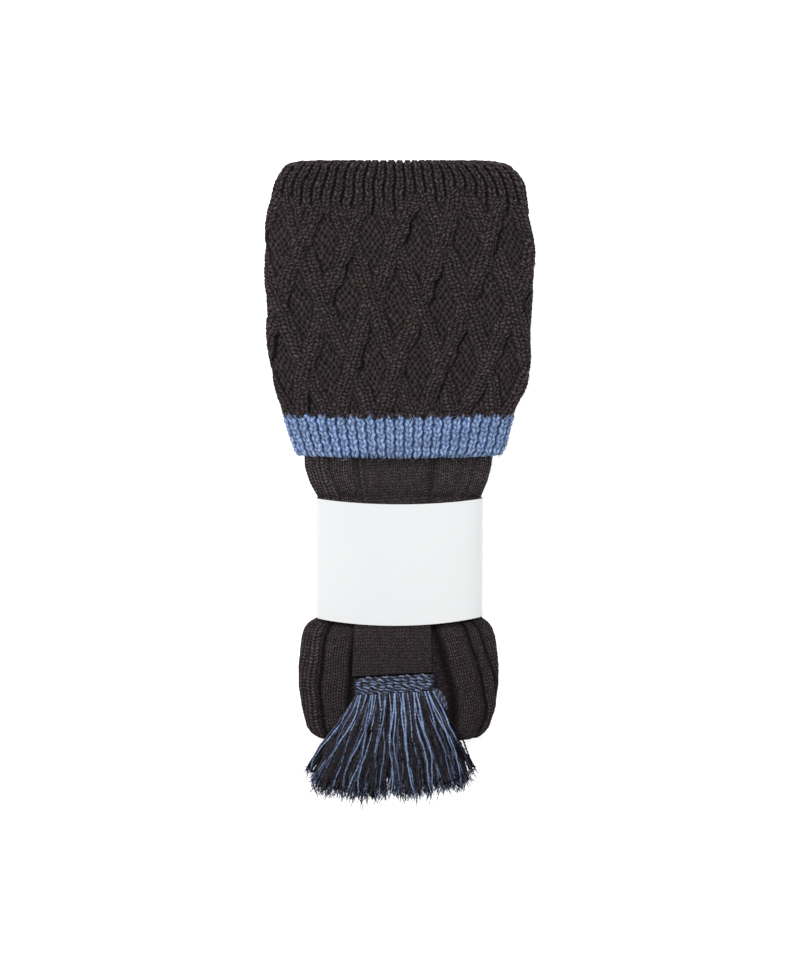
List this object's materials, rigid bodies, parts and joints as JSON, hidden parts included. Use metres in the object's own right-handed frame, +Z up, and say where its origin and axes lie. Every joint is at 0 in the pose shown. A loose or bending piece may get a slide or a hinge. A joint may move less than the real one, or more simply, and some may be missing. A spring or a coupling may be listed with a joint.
{
  "type": "folded shooting sock with garter tassel and paper band",
  "caption": "Knee-length knitted sock folded flat, with a cable turnover cuff, blue rib trim, a tasselled garter strap and a plain paper band.",
  "frame": {"origin": "middle of the bounding box's underside, on the table the bundle lies on", "axes": "+Y from the fringe to the cuff's top fold, +X to the right seen from above, +Z up from the table"},
  "size_m": [0.1108, 0.2622, 0.0325],
  "materials": {
    "charcoal_cable_knit": "cable lattice knit in matt charcoal wool",
    "blue_rib_knit": "one by one rib knit in heathered light blue wool",
    "charcoal_rib_knit": "wide rib knit in matt charcoal wool",
    "charcoal_plain_knit": "plain knit in matt charcoal wool",
    "charcoal_fine_knit": "fine plain knit in matt charcoal wool",
    "blue_charcoal_yarn": "mixed light blue and charcoal cut yarn",
    "white_paper": "smooth uncoated white paper"
  },
  "bodies": {
    "root": {"turnover_cuff": "charcoal_cable_knit", "cuff_trim": "blue_rib_knit", "sock_leg": "charcoal_rib_knit", "sock_foot": "charcoal_plain_knit", "garter_strap": "charcoal_fine_knit", "tassel": "blue_charcoal_yarn", "paper_band": "white_paper"}
  },
  "joints": []
}
